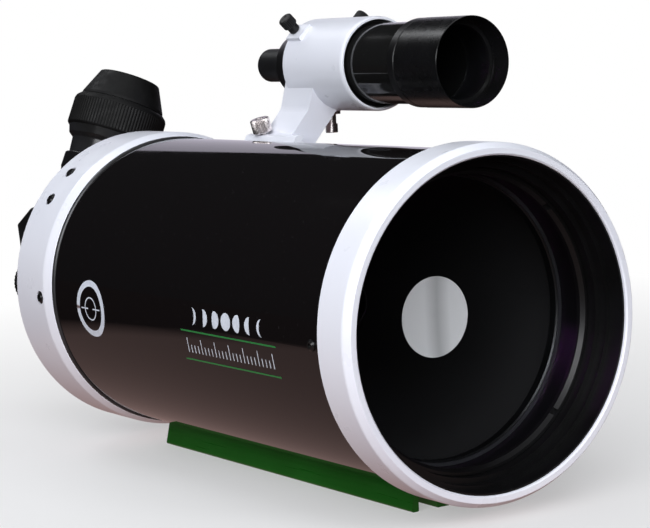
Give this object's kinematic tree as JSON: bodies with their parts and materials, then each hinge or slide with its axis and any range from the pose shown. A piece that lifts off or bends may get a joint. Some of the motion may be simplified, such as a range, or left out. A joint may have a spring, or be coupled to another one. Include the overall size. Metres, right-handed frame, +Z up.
{
  "type": "maksutov telescope",
  "caption": "Closed-tube reflecting telescope on a dovetail bar, with a turning star diagonal, a push-in eyepiece, a focus knob that moves the main mirror and an adjustable finder.",
  "frame": {"origin": "middle of the dovetail bar's underside, which is what the telescope rests on", "axes": "+Z up, +Y along the optical axis towards the eyepiece end, the aperture looks along -Y, +X to the right seen from the front ring's side"},
  "size_m": [0.206, 0.5212, 0.2709],
  "materials": {
    "white_paint": "cast aluminium, painted cool white, slightly glossy, fine orange peel",
    "black_cell": "satin black anodise with turned steps",
    "black_gloss": "aluminium tube, gloss black enamel",
    "black_anodised": "satin black anodise",
    "green_anodised": "bright green anodise, drawn bar with fine lengthwise lines",
    "trim": "dark grey trim ring",
    "coated_glass": "multi-coated optical glass with faint magenta and blue reflections",
    "spot_silver": "vacuum-deposited aluminium spot",
    "mirror_silver": "first-surface mirror",
    "black_steel": "black oxide socket screws",
    "bright_metal": "nickel plated brass, knurled",
    "brass": "plain brass",
    "black_plastic": "moulded black plastic, fine texture",
    "soft_rubber": "matte black rubber",
    "eyepiece_black": "satin black with a polished lip",
    "spring_steel": "spring wire"
  },
  "bodies": {
    "tube": {"main_tube": "black_gloss", "front_ring": "white_paint", "corrector_cell": "black_cell", "corrector_retainer": "black_cell", "corrector_lens": "coated_glass", "corrector_shim": "trim", "secondary_spot": "spot_silver", "front_ring_screws": "black_steel", "rear_trim_ring": "trim", "rear_cell": "white_paint", "rear_cell_screws": "black_steel", "baffle_tube": "black_anodised", "focus_bushing": "black_anodised", "bushing_screws": "black_steel", "visual_back": "black_anodised", "dovetail_bar": "green_anodised", "dovetail_screws": "bright_metal", "finder_shoe": "white_paint", "shoe_screws": "black_steel"},
    "primary": {"mirror_carrier": "black_anodised", "primary_mirror": "mirror_silver", "mirror_retainer": "black_anodised"},
    "focus_knob": {"focus_rod": "brass", "knob_core": "black_anodised", "knob_grip": "soft_rubber"},
    "back_screw_upper": {"visual_back_screw_upper": "bright_metal"},
    "back_screw_lower": {"visual_back_screw_lower": "bright_metal"},
    "diagonal": {"diagonal_nose": "bright_metal", "diagonal_body": "black_anodised", "diagonal_mirror": "mirror_silver", "diagonal_cover": "black_plastic", "cover_screws": "black_steel", "eyepiece_collar": "black_anodised", "compression_ring": "brass"},
    "collar_screw_rear": {"collar_screw_rear": "bright_metal"},
    "collar_screw_side": {"collar_screw_side": "bright_metal"},
    "eyepiece": {"eyepiece_barrel": "bright_metal", "eyepiece_body": "eyepiece_black", "field_lens": "coated_glass", "eye_lens": "coated_glass", "eyepiece_grip": "soft_rubber", "eyecup": "soft_rubber"},
    "clamp_screw": {"shoe_clamp_screw": "bright_metal"},
    "bracket": {"finder_bracket": "white_paint", "plunger_housing": "bright_metal", "plunger_spring": "spring_steel"},
    "plunger_pin": {"plunger_pin": "brass"},
    "adjuster_left": {"finder_adjuster_left": "black_plastic"},
    "adjuster_right": {"finder_adjuster_right": "black_plastic"},
    "finder": {"finder_tube": "black_gloss", "finder_o_ring": "soft_rubber", "finder_rear_cone": "black_anodised", "finder_eyepiece": "black_plastic", "finder_eye_lens": "coated_glass", "finder_reticle": "coated_glass"},
    "lock_ring": {"finder_lock_ring": "black_anodised"},
    "objective_cell": {"finder_cell": "black_anodised", "finder_objective": "coated_glass"},
    "dew_shield": {"finder_dew_shield": "black_anodised"}
  },
  "joints": [
    {"name": "focus_turn", "type": "hinge", "parent": "tube", "child": "focus_knob", "pos_m": [-0.066, 0.2043, 0.104], "axis": [0, 1, 0], "range_deg": [-1440, 1440]},
    {"name": "mirror_slide", "type": "slide", "parent": "tube", "child": "primary", "axis": [0, 1, 0], "range_m": [-0.003, 0.003]},
    {"name": "back_screw_upper_turn", "type": "hinge", "parent": "tube", "child": "back_screw_upper", "pos_m": [0.02834, 0.2333, 0.12778], "axis": [0.766, 0, 0.6428], "range_deg": [0, 720]},
    {"name": "back_screw_lower_turn", "type": "hinge", "parent": "tube", "child": "back_screw_lower", "pos_m": [0.0185, 0.2333, 0.07196], "axis": [0.5, 0, -0.866], "range_deg": [0, 720]},
    {"name": "diagonal_turn", "type": "hinge", "parent": "tube", "child": "diagonal", "pos_m": [0, 0.2923, 0.104], "axis": [0, 1, 0], "range_deg": [-113, 67]},
    {"name": "collar_screw_rear_turn", "type": "hinge", "parent": "diagonal", "child": "collar_screw_rear", "pos_m": [0.0211, 0.2923, 0.15371], "axis": [0.1598, 0.9848, -0.0678], "range_deg": [0, 720]},
    {"name": "collar_screw_side_turn", "type": "hinge", "parent": "diagonal", "child": "collar_screw_side", "pos_m": [0.0211, 0.2923, 0.15371], "axis": [0.9065, -0.1736, -0.3848], "range_deg": [0, 720]},
    {"name": "eyepiece_slide", "type": "slide", "parent": "diagonal", "child": "eyepiece", "axis": [0.3907, 0, 0.9205], "range_m": [0, 0.03]},
    {"name": "clamp_screw_turn", "type": "hinge", "parent": "tube", "child": "clamp_screw", "pos_m": [0.03821, 0.0908, 0.19279], "axis": [-0.2588, 0, 0.9659], "range_deg": [0, 720]},
    {"name": "bracket_slide", "type": "slide", "parent": "tube", "child": "bracket", "axis": [0, 1, 0], "range_m": [0, 0.065]},
    {"name": "finder_tilt", "type": "hinge", "parent": "bracket", "child": "finder", "pos_m": [0.07715, 0.0198, 0.23763], "axis": [1, 0, 0], "range_deg": [-1.2, 1.2]},
    {"name": "adjuster_left_slide", "type": "slide", "parent": "bracket", "child": "adjuster_left", "axis": [-0.7071, 0, 0.7071], "range_m": [-0.00083, 0.00083]},
    {"name": "adjuster_right_slide", "type": "slide", "parent": "bracket", "child": "adjuster_right", "axis": [0.7071, 0, 0.7071], "range_m": [-0.00083, 0.00083]},
    {"name": "plunger_slide", "type": "slide", "parent": "bracket", "child": "plunger_pin", "axis": [0, 0, -1], "range_m": [-0.00112, 0.00112], "deforming": ["plunger_spring"]},
    {"name": "lock_ring_turn", "type": "hinge", "parent": "finder", "child": "lock_ring", "pos_m": [0.07715, -0.0304, 0.23763], "axis": [0, 1, 0], "range_deg": [-360, 360]},
    {"name": "dew_shield_turn", "type": "hinge", "parent": "objective_cell", "child": "dew_shield", "pos_m": [0.07715, -0.0557, 0.23763], "axis": [0, 1, 0], "range_deg": [0, 1440]},
    {"name": "objective_slide", "type": "slide", "parent": "finder", "child": "objective_cell", "axis": [0, -1, 0], "range_m": [0, 0.00401]}
  ],
  "couplings": [
    {"joint": "focus_turn", "follows": "mirror_slide", "rad_per_m": 8333.3},
    {"joint": "adjuster_left_slide", "follows": "finder_tilt", "m_per_rad": 0.038891},
    {"joint": "adjuster_right_slide", "follows": "finder_tilt", "m_per_rad": 0.038891},
    {"joint": "plunger_slide", "follows": "finder_tilt", "m_per_rad": -0.0528},
    {"joint": "objective_slide", "follows": "dew_shield_turn", "m_per_rad": 0.000159}
  ]
}
